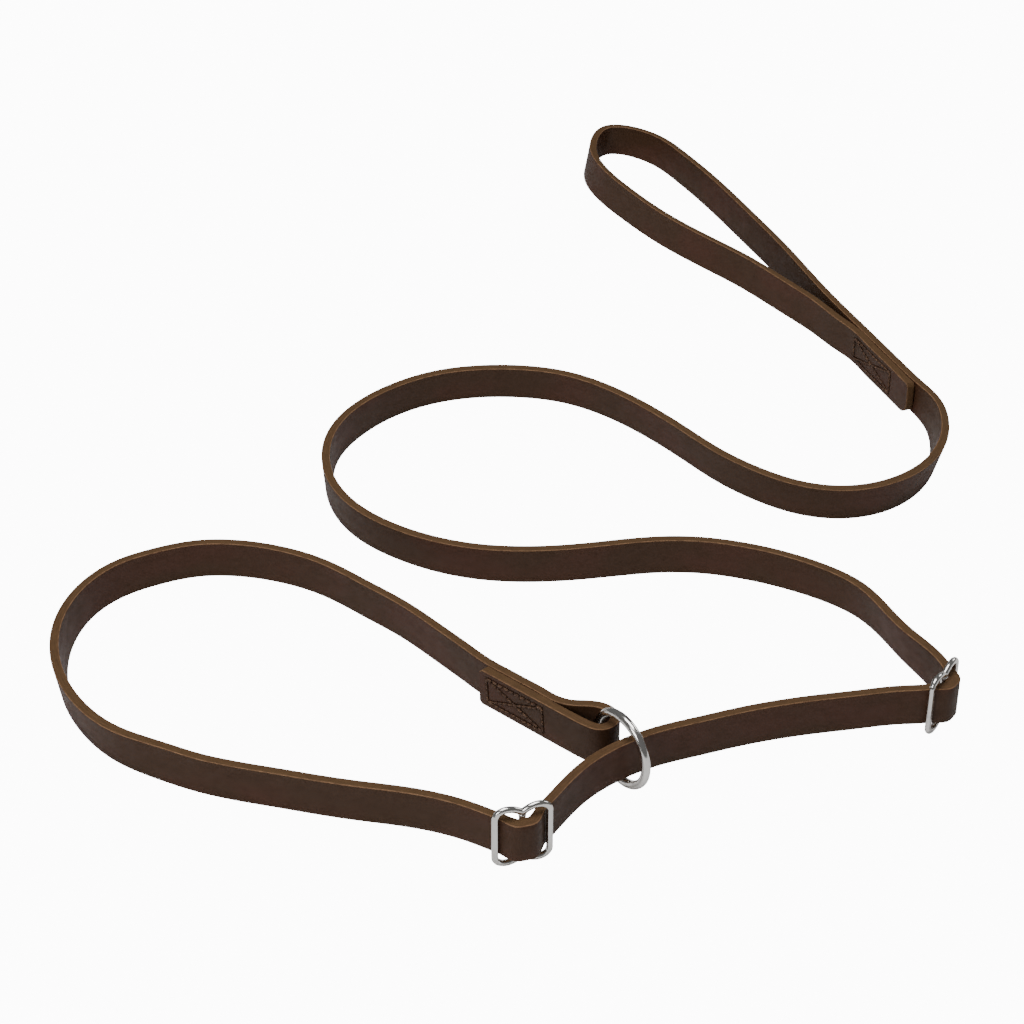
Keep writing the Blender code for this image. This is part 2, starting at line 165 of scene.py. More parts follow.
MIDDLE_RUN = [
    (-0.048, -0.0875, 0.0, -5),
    (-0.033, -0.0955, 0.0, -4),
    (-0.018, -0.100, 0.0, -3),
    (0.004, -0.1015, 0.0, -2),
    (0.020, -0.100, 0.0, -1),
    (0.035, -0.0975, 0.0, 0),
    (0.050, -0.0955, 0.0, 0),
    (0.066, -0.096, 0.0, 0),
    (0.081, -0.0995, 0.0, 0),
    (0.096, -0.1055, 0.0, 0),
    (0.110, -0.1140, 0.0004, -2),
    (0.1225, -0.1265, 0.0014, -5),
]
INTO_LEAD_STOP = [
    (0.1300, -0.1410, 0.0024, -8),
    (0.1358, -0.1560, 0.0034, -7),
]
OUT_OF_LEAD_STOP = [
    (0.1275, -0.1925, 0.0044, 0),
]
SLIP_RUN = [
    (0.114, -0.1945, 0.0042, 0),
    (0.100, -0.197, 0.0042, 0),
    (0.086, -0.200, 0.0042, 0),
    (0.072, -0.204, 0.0042, 0),
    (0.057, -0.210, 0.0048, 0),
    (0.0435, -0.216, 0.0056, 0),
    (0.0295, -0.2245, 0.0060, 0),
]
INTO_NECK_STOP = [
    (0.0175, -0.235, 0.0056, 0),
]
OUT_OF_NECK_STOP = [
    (-0.0200, -0.2530, 0.0042, 0),
]
NECK_NEAR = [
    (-0.0310, -0.2475, 0.0034, 0),
    (-0.0425, -0.2435, 0.0026, 0),
    (-0.056, -0.240, 0.0018, 0),
    (-0.070, -0.236, 0.0010, 0),
    (-0.083, -0.232, 0.0004, 0),
    (-0.097, -0.228, 0.0, 0),
    (-0.111, -0.2235, 0.0, 0),
    (-0.125, -0.217, 0.0, 0),
]
NECK_TURN = [
    (-0.1395, -0.2083, 0.0, 5),
    (-0.1540, -0.1927, 0.0, 8),
    (-0.1650, -0.1690, 0.0, 8),
    (-0.1672, -0.1430, 0.0, 6),
    (-0.1595, -0.1200, 0.0, 3),
    (-0.1520, -0.1115, 0.0, 3),
]
NECK_FAR = [
    (-0.140, -0.1037, 0.0, 1),
    (-0.124, -0.098, 0.0, 0),
    (-0.109, -0.098, 0.0, 0),
    (-0.093, -0.102, 0.0, 0),
    (-0.077, -0.110, 0.0, 0),
    (-0.061, -0.123, 0.0, 0),
    (-0.046, -0.137, 0.0006, 0),
    (-0.0320, -0.1535, 0.0016, 0),
    (-0.0222, -0.1660, 0.0026, 0),
]
RING_SEAM = [  # the run under the sewn tail, towards the ring; straight
    (-0.0135, -0.1767, 0.0034, 0),
    (-0.0078, -0.1825, 0.0040, 0),
    (-0.0021, -0.1883, 0.0046, 0),
    (0.0036, -0.1941, 0.0052, 0),
    (0.0093, -0.1999, 0.0058, 0),
]
RING_EYE = [
    (0.0136, -0.2021, 0.0060, 0),
    (0.0191, -0.2030, 0.0063, 0),
    (0.0248, -0.2047, 0.0066, 0),
    (0.0284, -0.2087, 0.0067, 0),
    (0.0281, -0.2136, 0.0067, 0),
    (0.0240, -0.2162, 0.0066, 0),
    (0.0188, -0.2137, 0.0064, 0),
    (0.0136, -0.2090, 0.0061, 0),
]


def srgb(red, green, blue):
    """A colour picked as 0 to 255 in each channel, as the linear values that a shader takes."""
    shares = (channel / 255 for channel in (red, green, blue))
    return tuple(c / 12.92 if c <= 0.04045 else ((c + 0.055) / 1.055) ** 2.4 for c in shares)


# --- Settings -----------------------------------------------------------------------------


def length(name, description, default):
    return FloatProperty(
        name=name, description=description, default=default, min=0.0, precision=5,
        subtype="DISTANCE", unit="LENGTH",
    )


def colour(name, description, default):
    return FloatVectorProperty(
        name=name, description=description, default=default, size=3, min=0.0, max=1.0,
        subtype="COLOR",
    )


class StrapSettings(bpy.types.PropertyGroup):
    """The leather strap."""

    width: length("Width", "Width of the strap, which stands on its edge", 0.015)
    thickness: length("Thickness", "Thickness of the leather", 0.0034)
    edge_round: length("Edge round", "Radius of the four bevelled edges", 0.00042)
    step: length("Step", "Spacing of the cross-sections along the strap", 0.0010)
    seam_step: length("Seam step", "Spacing of the cross-sections under the stitches", 0.0004)
    face: colour("Face", "Oiled grain side", srgb(67, 45, 29))
    warm: colour("Warm face", "Redder patches of the face", srgb(74, 46, 32))
    cut: colour("Cut edge", "Raw fibres at the cut edge", srgb(98, 72, 46))
    # Partly real wear, partly painted highlight: the lighter line painted along the bevels between
    # face and cut edge stands in for light on them.
    worn_line_and_highlight: colour("Worn line", "Line where the face meets the cut edge", srgb(142, 108, 78))


class MetalSettings(bpy.types.PropertyGroup):
    """The ring and the slides."""

    ring_bore: length("Ring bore", "Inner diameter of the ring", 0.0230)
    ring_wire: length("Ring wire", "Diameter of the ring's wire", 0.0032)
    slide_wire: length("Slide wire", "Diameter of the slides' wire", 0.0023)
    slide_pitch: length("Slide pitch", "Middle bar of a slide to its outer bar", 0.0092)
    nickel: colour("Nickel", "Plated finish", (0.80, 0.78, 0.75))


class StitchSettings(bpy.types.PropertyGroup):
    """The two sewn seams."""

    thread: length("Thread", "Diameter of the thread", 0.0008)
    pitch: length("Pitch", "Spacing of the needle holes", 0.0027)
    yarn: colour("Thread colour", "Waxed thread", srgb(88, 60, 42))
    # Painted highlight: this lighter tan is painted on the thread's ply crests, in patches,
    # standing in for light on them.
    lit_yarn: colour("Worn thread", "Strands that have rubbed lighter", srgb(130, 96, 68))


# --- Shaders ------------------------------------------------------------------------------


class Signal:
    """A shader socket in an expression, which adds a Math node for each operation."""

    def __init__(self, sheet, socket):
        self.sheet = sheet
        self.socket = socket

    def maths(self, operation, *values):
        return self.sheet.node("ShaderNodeMath", {"operation": operation}, values)

    def __add__(self, other):
        return self.maths("ADD", self, other)

    def __radd__(self, other):
        return self.maths("ADD", other, self)

    def __sub__(self, other):
        return self.maths("SUBTRACT", self, other)

    def __rsub__(self, other):
        return self.maths("SUBTRACT", other, self)

    def __mul__(self, other):
        return self.maths("MULTIPLY", self, other)

    def __rmul__(self, other):
        return self.maths("MULTIPLY", other, self)

    def __abs__(self):
        return self.maths("ABSOLUTE", self)

    def wave(self):
        """Sine of the signal, which is in radians, from 0 to 1."""
        return self.maths("SINE", self) * 0.5 + 0.5

    def ramp(self, low, high):
        """0 up to low, 1 from high, and smooth between them."""
        return self.sheet.node(
            "ShaderNodeMapRange",
            {"interpolation_type": "SMOOTHSTEP"},
            {"Value": self, "From Min": low, "From Max": high},
        )


class Sheet:
    """A material and the nodes that it is made of."""

    def __init__(self, name):
        self.material = bpy.data.materials.new(name)
        self.material.use_nodes = True
        self.tree = self.material.node_tree
        self.shader = self.tree.nodes["Principled BSDF"]

    def node(self, kind, settings=None, values=(), output=0):
        """Adds a node: its settings first, then its sockets' values or links."""
        made = self.tree.nodes.new(kind)
        made.location = (-180 * len(self.tree.nodes), 200)
        for name, value in (settings or {}).items():
            setattr(made, name, value)
        named = values.items() if isinstance(values, dict) else enumerate(values)
        for key, value in named:
            self.feed(made.inputs[key], value)
        return Signal(self, made.outputs[output])

    def feed(self, target, value):
        if isinstance(value, Signal):
            self.tree.links.new(value.socket, target)
        elif target.type == "RGBA":
            target.default_value = (*value, 1.0)
        else:
            target.default_value = value

    def mix(self, first, second, share):
        """first where share is 0 and second where it is 1, as colours."""
        settings = {"data_type": "RGBA", "blend_type": "MIX", "clamp_factor": True}
        return self.node("ShaderNodeMix", settings, {0: share, 6: first, 7: second}, 2)

    def stretched(self, vector, *scale):
        return self.node("ShaderNodeVectorMath", {"operation": "MULTIPLY"}, (vector, scale))

    def noise(self, vector, scale, detail=3.0, roughness=0.5):
        values = {"Vector": vector, "Scale": scale, "Detail": detail, "Roughness": roughness}
        return self.node("ShaderNodeTexNoise", None, values)

    def attribute(self, name):
        return self.node("ShaderNodeAttribute", {"attribute_name": name}, (), "Fac")

    def bump(self, height, strength, distance):
        values = {"Height": height, "Strength": strength, "Distance": distance}
        return self.node("ShaderNodeBump", None, values)

    def finish(self, **inputs):
        """Feeds the shader's sockets, named with underscores for spaces."""
        for name, value in inputs.items():
            self.feed(self.shader.inputs[name.replace("_", " ")], value)
        return self.material


def leather_finish(strap):
    """Oiled strap leather: fine grain on the faces, raw fibres along the cut edges."""
    sheet = Sheet("oiled brown leather")
    metres = sheet.node("ShaderNodeUVMap", {"uv_map": "strap"})
    cut = sheet.attribute("cut")
    pressed = sheet.attribute("pressed")
    hole_shade_mask = sheet.attribute("needle_hole")

    patches = sheet.noise(sheet.stretched(metres, 22, 40, 0), 1.0, 2.0)
    clouds = sheet.noise(sheet.stretched(metres, 150, 260, 0), 1.0, 4.0, 0.6)
    grain = sheet.noise(metres, 2600.0, 3.0, 0.6)
    creases = sheet.noise(sheet.stretched(metres, 900, 160, 0), 1.0, 4.0, 0.65)
    fibres = sheet.noise(sheet.stretched(metres, 180, 4200, 0), 1.0, 5.0, 0.7)
    rubbed = sheet.noise(sheet.stretched(metres, 240, 300, 0), 1.0, 3.0, 0.6)

    face = sheet.mix(strap.face, strap.warm, patches.ramp(0.42, 0.62))
    face = sheet.mix(face, [c * 0.80 for c in strap.face], clouds.ramp(0.45, 0.80) * 0.5)
    face = sheet.mix(face, [c * 0.55 for c in strap.face], grain.ramp(0.62, 0.80) * 0.35)
    raw = sheet.mix([c * 0.62 for c in strap.cut], strap.cut, fibres.ramp(0.34, 0.62))
    raw = sheet.mix(raw, [c * 0.55 for c in strap.cut], rubbed.ramp(0.52, 0.75) * 0.5)
    skin = sheet.mix(face, raw, cut.ramp(0.55, 1.0))
    # Painted highlight, partly real wear: the bevels between face and cut edge are painted lighter,
    # in random patches.
    line = (1.0 - abs(cut - 0.5) * 2.0).ramp(0.15, 0.75)
    skin = sheet.mix(skin, strap.worn_line_and_highlight, line * (0.45 + rubbed.ramp(0.35, 0.60) * 0.50))
    # Painted shade: the leather is painted darker along the sewn grooves.
    skin = sheet.mix(skin, [c * 0.40 for c in strap.face], pressed * 0.18)
    # Painted shade: the needle holes are painted nearly black.
    skin = sheet.mix(skin, [c * 0.06 for c in strap.face], hole_shade_mask)

    relief = grain * 0.35 + creases * 0.30 + (fibres * 2.2 - 1.1) * cut
    roughness = 0.46 + clouds.ramp(0.3, 0.7) * 0.10 + cut * 0.22 + grain * 0.06
    return sheet.finish(
        Base_Color=skin, Roughness=roughness, Normal=sheet.bump(relief, 0.35, 0.00012),
        Specular_IOR_Level=0.22,
    )


def nickel_finish(metal):
    """Bright nickel plate with fine wear."""
    sheet = Sheet("nickel plate")
    place = sheet.node("ShaderNodeTexCoord", None, (), "Object")
    wear = sheet.noise(place, 260.0, 4.0, 0.6)
    scuffs = sheet.noise(sheet.stretched(place, 400, 400, 4200), 1.0, 3.0, 0.6)
    tone = sheet.mix(metal.nickel, [c * 0.82 for c in metal.nickel], wear.ramp(0.5, 0.8))
    roughness = 0.12 + wear.ramp(0.40, 0.75) * 0.10 + scuffs.ramp(0.55, 0.8) * 0.08
    return sheet.finish(
        Base_Color=tone, Roughness=roughness, Metallic=1.0,
        Normal=sheet.bump(wear + scuffs * 0.3, 0.10, 0.00003),
    )


def thread_finish(stitches):
    """Waxed thread of twisted plies."""
    sheet = Sheet("waxed thread")
    around_along = sheet.node("ShaderNodeUVMap", {"uv_map": "UVMap"})
    around = sheet.node("ShaderNodeSeparateXYZ", None, (around_along,), "X")
    along = sheet.node("ShaderNodeSeparateXYZ", None, (around_along,), "Y")
    twist = ((around * 2.0 + along * 4.0) * (2 * pi)).wave()
    place = sheet.node("ShaderNodeTexCoord", None, (), "Object")
    fuzz = sheet.noise(place, 2400.0, 3.0, 0.6)
    rubbed = sheet.noise(place, 420.0, 2.0)
    # Painted shade and highlight: each ply is painted darker in the grooves between plies and
    # lighter tan on its crest.
    tone = sheet.mix([c * 0.45 for c in stitches.yarn], stitches.yarn, twist)
    tone = sheet.mix(tone, stitches.lit_yarn, twist * rubbed.ramp(0.42, 0.62) * 0.75)
    return sheet.finish(
        Base_Color=tone, Roughness=0.62 + fuzz * 0.2,
        Normal=sheet.bump(twist + fuzz * 0.4, 0.5, 0.00010),
    )


def finished(name, make, settings):
    """The material of that name, made the first time that a piece asks for it."""
    return bpy.data.materials.get(name) or make(settings)


# --- The strap's path ---------------------------------------------------------------------


def smooth_curve(points):
    """A function of length that runs smoothly through the points: a natural cubic spline."""
    values = np.array(points, float)
    knots = np.concatenate([[0.0], np.cumsum(np.hypot(*np.diff(values[:, :2], axis=0).T))])
    gaps = np.diff(knots)
    count = len(knots)
    system = np.eye(count)
    right = np.zeros_like(values)
    slopes = np.diff(values, axis=0) / gaps[:, None]
    for i in range(1, count - 1):
        system[i, i - 1 : i + 2] = gaps[i - 1], 2 * (gaps[i - 1] + gaps[i]), gaps[i]
        right[i] = 6 * (slopes[i] - slopes[i - 1])
    bends = np.linalg.solve(system, right)

    def at(lengths):
        i = np.clip(np.searchsorted(knots, lengths) - 1, 0, count - 2)
        gap = gaps[i][:, None]
        before = ((knots[i + 1] - lengths) / gaps[i])[:, None]
        after = 1 - before
        sag = (before**3 - before) * bends[i] + (after**3 - after) * bends[i + 1]
        return before * values[i] + after * values[i + 1] + gap**2 / 6 * sag

    return at, knots


def wrap_radius(strap, metal):
    """From a slide's bar to the middle of the leather that wraps it."""
    return metal.slide_wire / 2 + CLEARANCE + strap.thickness / 2


def slide_height(metal):
    return SLIDE_INNER_HEIGHT + 2 * metal.slide_wire


def through_slide(stop, strap, metal):
    """The strap's way through a slide: behind an outer bar, over the middle one, behind another."""
    radius = wrap_radius(strap, metal)
    reach = metal.slide_pitch - BULGE_HALF_WIDTH
    crossing = atan2(BULGE_FORWARD, reach) + asin(2 * radius / hypot(reach, BULGE_FORWARD))
    lift = (slide_height(metal) - strap.width) / 2
    along = Vector((cos(radians(stop["heading"])), sin(radians(stop["heading"]))))
    front = Vector((-along.y, along.x))
    before = min(radians(stop["before"]), crossing)
    after = min(radians(stop["after"]), crossing)
    arcs = (  # how far along and forward each arc's middle is, its side, its first and last turn
        (-metal.slide_pitch, 0.0, -1, before, crossing),
        (-BULGE_HALF_WIDTH, BULGE_FORWARD, 1, -crossing, 0.0),
        (0.0, BULGE_FORWARD, 1, 0.0, 0.0),
        (BULGE_HALF_WIDTH, BULGE_FORWARD, 1, 0.0, crossing),
        (metal.slide_pitch, 0.0, -1, -crossing, -after),
    )
    points = []
    for forth, forward, side, first, last in arcs:
        middle = Vector(stop["centre"]) + along * forth + front * forward
        count = max(1, ceil((last - first) / radians(9)))
        steps = {first + (last - first) * i / count for i in range(count + 1)}
        for turn in sorted(steps):
            outward = front * side * cos(turn) + along * sin(turn)
            place = middle + outward * radius
            points.append((place.x, place.y, lift, 0.0))
    return points


def tail_along(points, distance):
    """The folded-back tail's route to the right of these points, in its own direction."""
    values = np.array(points, float)
    ahead = np.gradient(values[:, :2], axis=0)
    ahead /= np.linalg.norm(ahead, axis=1)[:, None]
    moved = values.copy()
    moved[:, 0] += distance * ahead[:, 1]
    moved[:, 1] -= distance * ahead[:, 0]
    return [tuple(row) for row in moved][::-1]


class Route:
    """The strap's one smooth line, and the lengths at which its pieces start and end."""

    def __init__(self, strap, metal):
        fold = strap.thickness + CLEARANCE
        into_lead = INTO_LEAD_STOP + through_slide(LEAD_STOP, strap, metal)
        into_neck = INTO_NECK_STOP + through_slide(NECK_STOP, strap, metal)
        runs = [
            ("hand_loop", tail_along(HAND_SEAM, fold) + HAND_LOOP + HAND_SEAM),
            ("hand_turn", HAND_TURN),
            ("far_run", FAR_RUN),
            ("far_turn", FAR_TURN),
            ("middle_run", MIDDLE_RUN),
            ("lead_stop", into_lead + OUT_OF_LEAD_STOP),
            ("slip_run", SLIP_RUN),
            ("neck_stop", into_neck + OUT_OF_NECK_STOP),
            ("neck_loop", NECK_NEAR + NECK_TURN + NECK_FAR),
            ("ring_fold", RING_SEAM + RING_EYE + tail_along(RING_SEAM, fold)),
        ]
        points = [point for _, run in runs for point in run]
        self.at, knots = smooth_curve(points)
        self.width = strap.width
        self.starts = {}
        passed = 0
        for name, run in runs:
            self.starts[name] = float(knots[passed])
            passed += len(run)
        self.end = float(knots[-1])
        places = np.array([point[:2] for point in points])
        self.crests = {}
        for name, stop in STOPS.items():
            turn = radians(stop["heading"])
            front = np.array((-sin(turn), cos(turn)))
            forward = wrap_radius(strap, metal) + BULGE_FORWARD
            crest = np.array(stop["centre"]) + forward * front
            nearest = np.linalg.norm(places - crest, axis=1).argmin()
            self.crests[name] = float(knots[nearest])

    def frame_at(self, lengths, thickness):
        """Foot, upward and leftward directions of the strap at these lengths along it."""
        rows = self.at(lengths)
        ahead = self.at(lengths + 1e-5)[:, :2] - self.at(lengths - 1e-5)[:, :2]
        ahead /= np.linalg.norm(ahead, axis=1)[:, None]
        tilt = np.radians(rows[:, 3])
        foot = rows[:, :3].copy()
        foot[:, 2] = np.maximum(rows[:, 2], 0.0) + thickness / 2 * abs(np.sin(tilt))
        left = np.stack([-ahead[:, 1], ahead[:, 0], np.zeros(len(rows))], axis=1)
        upright = np.array((0.0, 0.0, 1.0))
        up = upright * np.cos(tilt)[:, None] + left * np.sin(tilt)[:, None]
        side = left * np.cos(tilt)[:, None] - upright * np.sin(tilt)[:, None]
        return foot, up, side

    def middle_line(self, lengths, thickness):
        foot, up, _ = self.frame_at(lengths, thickness)
        return foot + up * self.width / 2


# --- Modelling helpers --------------------------------------------------------------------


def alone(piece):
    """Makes the piece the only selected object, and the active one."""
    bpy.ops.object.select_all(action="DESELECT")
    piece.select_set(True)
    bpy.context.view_layer.objects.active = piece


def placed(name, data):
    """A new object in the scene that holds this mesh, curve, lamp or camera."""
    made = bpy.data.objects.new(name, data)
    bpy.context.scene.collection.objects.link(made)
    return made


def close_up(piece, sharpest, doubled=0.0):
    """Merges points this near each other, turns the faces outwards and smooths the piece."""
    alone(piece)
    bpy.ops.object.mode_set(mode="EDIT")
    bpy.ops.mesh.select_all(action="SELECT")
    if doubled:
        bpy.ops.mesh.remove_doubles(threshold=doubled)
    bpy.ops.mesh.normals_make_consistent(inside=False)
    bpy.ops.object.mode_set(mode="OBJECT")
    if sharpest:
        bpy.ops.object.shade_smooth_by_angle(angle=radians(sharpest))


# --- Leather ------------------------------------------------------------------------------


def cross_section(strap, rows):
    """The strap's outline, as (leftward, upward, cut) rows. cut is 0 on a face, 1 on a cut edge."""
    radius = strap.edge_round
    across, top = strap.thickness / 2 - radius, strap.width - radius
    corners = (
        (across, top, 0, EDGE_ROWS),
        (-across, top, 90, rows),
        (-across, radius, 180, EDGE_ROWS),
        (across, radius, 270, rows),
    )
    outline = []
    for i, (x, y, first, segments) in enumerate(corners):
        for step in range(4):
            turn = radians(first + 30 * step)
            cut = step / 3 if i % 2 == 0 else 1 - step / 3
            outline.append((x + radius * cos(turn), y + radius * sin(turn), cut))
        next_x, next_y, next_first, _ = corners[(i + 1) % 4]
        last = np.array(outline[-1][:2])
        following = np.array((next_x, next_y)) + radius * np.array(
            (cos(radians(next_first)), sin(radians(next_first)))
        )
        for step in range(1, segments):
            place = last + (following - last) * step / segments
            outline.append((*place, outline[-1][2]))
    return np.array(outline)


def rounded_off(distance, radius):
    """How much a corner of that radius takes off, this far from the strap's cut end."""
    inside = np.clip(radius - distance, 0.0, radius)
    return radius - np.sqrt(radius**2 - inside**2)


class Seam:
    """A box of stitches with a cross in it, through a run of the strap and its folded-back tail."""

    def __init__(self, name, run, from_end, length, tail, strap, stitches):
        first, last = np.array(run[0]), np.array(run[-1])
        ahead = last[:3] - first[:3]
        flat = np.linalg.norm(ahead[:2])
        start = flat - tail - length if from_end else tail
        self.name = name
        self.ahead = ahead / np.linalg.norm(ahead)
        self.right = np.array((ahead[1], -ahead[0], 0.0)) / flat
        self.up = np.cross(self.right, self.ahead)
        middle = first[:3] + ahead * (start + length / 2) / flat
        self.middle = middle + self.up * strap.width / 2
        self.half = np.array((length, strap.width - 2 * SEAM_MARGIN)) / 2
        self.half -= stitches.thread / 2
        self.pitch = stitches.pitch
        fold = strap.thickness + CLEARANCE
        self.faces = {
            "needle": (fold + strap.thickness / 2, 1.0),
            "bobbin": (-strap.thickness / 2, -1.0),
        }

    def lines(self):
        """The sewn lines, each as its needle holes in order, in the seam's own plane."""
        x, y = self.half
        corners = [np.array(c) for c in ((-x, -y), (x, -y), (x, y), (-x, y))]
        ends = [(corners[i], corners[(i + 1) % 4]) for i in range(4)]
        ends += [(corners[0], corners[2]), (corners[1], corners[3])]
        for start, end in ends:
            count = max(1, round(float(np.linalg.norm(end - start)) / self.pitch))
            yield [start + (end - start) * i / count for i in range(count + 1)]

    def press(self, points):
        """How the stitches move these points, and how near a sewn line or a hole each one is."""
        local = points - self.middle
        along, upward, outward = local @ self.ahead, local @ self.up, local @ self.right
        shade, hole_shade_mask = np.zeros(len(points)), np.zeros(len(points))
        push = np.zeros_like(points)
        near = (abs(along) < self.half[0] + 0.003) & (abs(upward) < self.half[1] + 0.002)
        for offset, facing in self.faces.values():
            on = np.flatnonzero(near & (abs(outward - offset) < 0.00025))
            place = np.stack([along[on], upward[on]], axis=1)
            groove, holes = np.zeros(len(on)), np.zeros(len(on))
            for line in self.lines():
                for start, end in zip(line, line[1:]):
                    span = end - start
                    share = np.clip((place - start) @ span / (span @ span), 0, 1)
                    gap = np.linalg.norm(place - start - share[:, None] * span, axis=1)
                    groove = np.maximum(groove, np.exp(-((gap / GROOVE_WIDTH) ** 2)))
                for pierced in line:
                    gap = np.linalg.norm(place - pierced, axis=1)
                    holes = np.maximum(holes, np.exp(-((gap / HOLE_WIDTH) ** 2)))
            depth = groove * GROOVE_DEPTH + holes * HOLE_DEPTH
            # These masks also darken the leather's colour: painted shade in the grooves and needle
            # holes.
            shade[on], hole_shade_mask[on] = groove, holes
            push[on] = -facing * depth[:, None] * self.right
        return push, shade, hole_shade_mask


def spaced(start, end, step):
    return np.linspace(start, end, max(2, int(round((end - start) / step)) + 1))


def strap_piece(
    name, route, strap, start, end, windows=(), seam=None, tails=(0.0, 0.0), crest=None
):
    """A closed length of the strap. windows are its sewn stretches, which are cut finer, and
    tails how far its lower corner is rounded at a cut end, or 0 where the next piece meets it.
    Round a crest, where the strap bends over a slide's bar, the leather bunches up inside."""
    marks = [start]
    for low, high in windows:
        marks += [low, high]
    marks.append(end)
    lengths = np.unique(np.concatenate([
        spaced(low, high, strap.seam_step if i % 2 else strap.step)
        for i, (low, high) in enumerate(zip(marks, marks[1:]))
        if high - low > 1e-6
    ]))
    section = cross_section(strap, 30 if windows else 6)
    foot, up, side = route.frame_at(lengths, strap.thickness)
    count, ring = len(lengths), len(section)
    lower, upper = np.zeros(count), np.full(count, strap.width)
    for cut_at, radius in ((start, tails[0]), (end, tails[1])):
        if radius:
            off_end = abs(lengths - cut_at)
            lower += rounded_off(off_end, radius)
            upper -= rounded_off(off_end, CUT_END_ROUND)
    bunch = np.zeros(count)
    if crest is not None:
        bunch = BUNCHING * np.exp(-(((lengths - crest) / BUNCHED_REACH) ** 4))
    inner_side = 0.5 - section[:, 0] / strap.thickness
    across = section[:, 0] - bunch[:, None] * inner_side
    share = section[:, 1] / strap.width
    heights = lower[:, None] + share * (upper - lower)[:, None]
    points = (
        foot[:, None] + side[:, None] * across[..., None] + up[:, None] * heights[..., None]
    ).reshape(-1, 3)
    cut = np.tile(section[:, 2], count)
    shade, hole_shade_mask = np.zeros(len(points)), np.zeros(len(points))
    if seam:
        push, shade, hole_shade_mask = seam.press(points)
        points = points + push
    faces = []
    around = np.concatenate([[0.0], np.cumsum(np.linalg.norm(
        np.diff(np.vstack([section, section[:1]])[:, :2], axis=0), axis=1
    ))])
    maps = []
    for i in range(count - 1):
        for j in range(ring):
            after = (j + 1) % ring
            base, above = i * ring, (i + 1) * ring
            faces.append((base + j, base + after, above + after, above + j))
            near, far = lengths[i], lengths[i + 1]
            maps += [near, around[j], near, around[j + 1], far, around[j + 1], far, around[j]]
    points, cut = list(map(tuple, points)), list(cut)
    shade, hole_shade_mask = list(shade), list(hole_shade_mask)
    for row, facing, tail in ((0, -1.0, tails[0]), (count - 1, 1.0, tails[1])):
        loop = list(range(row * ring, (row + 1) * ring))
        place = [np.array(points[k]) for k in loop]
        if tail:
            ahead = np.cross(side[row], up[row]) * facing
            middle = sum(place) / ring
            inner = []
            for k, point in zip(loop, place):
                pulled = point + (middle - point) * 0.16 + ahead * 0.00022
                inner.append(len(points))
                points.append(tuple(pulled))
                cut.append(1.0)
                shade.append(0.0)
                hole_shade_mask.append(0.0)
            for j in range(ring):
                after = (j + 1) % ring
                faces.append((loop[j], loop[after], inner[after], inner[j]))
                for k in (j, j + 1, j + 1, j):
                    maps += [lengths[row], around[k]]
            loop = inner
        faces.append(tuple(loop))
        for k in loop:
            local = np.array(points[k]) - foot[row]
            maps += [lengths[row] + local @ side[row], local @ up[row]]
    mesh = bpy.data.meshes.new(name)
    mesh.from_pydata(points, [], faces)
    mesh.uv_layers.new(name="strap").data.foreach_set("uv", maps)
    # Two of these attributes carry painted shade, for the grooves and the needle holes.
    for title, values in (("cut", cut), ("pressed", shade), ("needle_hole", hole_shade_mask)):
        layer = mesh.attributes.new(title, "FLOAT", "POINT")
        layer.data.foreach_set("value", values)
    piece = placed(name, mesh)
    piece.data.materials.append(finished("oiled brown leather", leather_finish, strap))
    close_up(piece, 42)
    return piece


# --- Finishing ---------------------------------------------------------------------------


def settle(piece, name, finish):
    """Names a modelled piece, puts its place into its mesh and gives it its finish."""
    alone(piece)
    bpy.ops.object.transform_apply(location=True, rotation=True, scale=True)
    piece.name = name
    piece.data.name = name
    piece.data.materials.clear()
    piece.data.materials.append(finish)
    return piece


def lathe(profile, segments):
    """A closed turned shape about +Z, spun from its (radius, height) profile."""
    points = [(radius, 0.0, height) for radius, height in profile]
    edges = [(i, i + 1) for i in range(len(points) - 1)]
    mesh = bpy.data.meshes.new("turned")
    mesh.from_pydata(points, edges, [])
    turned = placed("turned", mesh)
    alone(turned)
    bpy.ops.object.mode_set(mode="EDIT")
    bpy.ops.mesh.select_all(action="SELECT")
    bpy.ops.mesh.spin(
        steps=segments, angle=2 * pi, center=(0, 0, 0), axis=(0, 0, 1), use_auto_merge=False
    )
    bpy.ops.object.mode_set(mode="OBJECT")
    close_up(turned, 50, doubled=0.000005)
    return turned


# --- Hardware -----------------------------------------------------------------------------


def slide_matrix(stop, metal):
    """X along the strap, Z up, with the slide standing on its lobes."""
    place = Matrix.Translation((*stop["centre"], slide_height(metal) / 2))
    return place @ Matrix.Rotation(radians(stop["heading"]), 4, "Z")


def lobe_edge(metal):
    """One quarter of the frame's outline, from the outer bar's end over the crown to the pinch."""
    crown = (SLIDE_INNER_HEIGHT + metal.slide_wire) / 2
    corner = crown - SLIDE_CORNER_DROP
    reach = metal.slide_pitch - SLIDE_CROWN
    steps = 14
    points = []
    for i in range(steps):
        turn = pi / 2 * i / steps
        points.append((SLIDE_CROWN + reach * cos(turn), corner + SLIDE_CORNER_DROP * sin(turn)))
    for i in range(steps + 1):
        inward = i / steps
        points.append((SLIDE_CROWN * (1 - inward), crown - SLIDE_PINCH * inward**2))
    return points


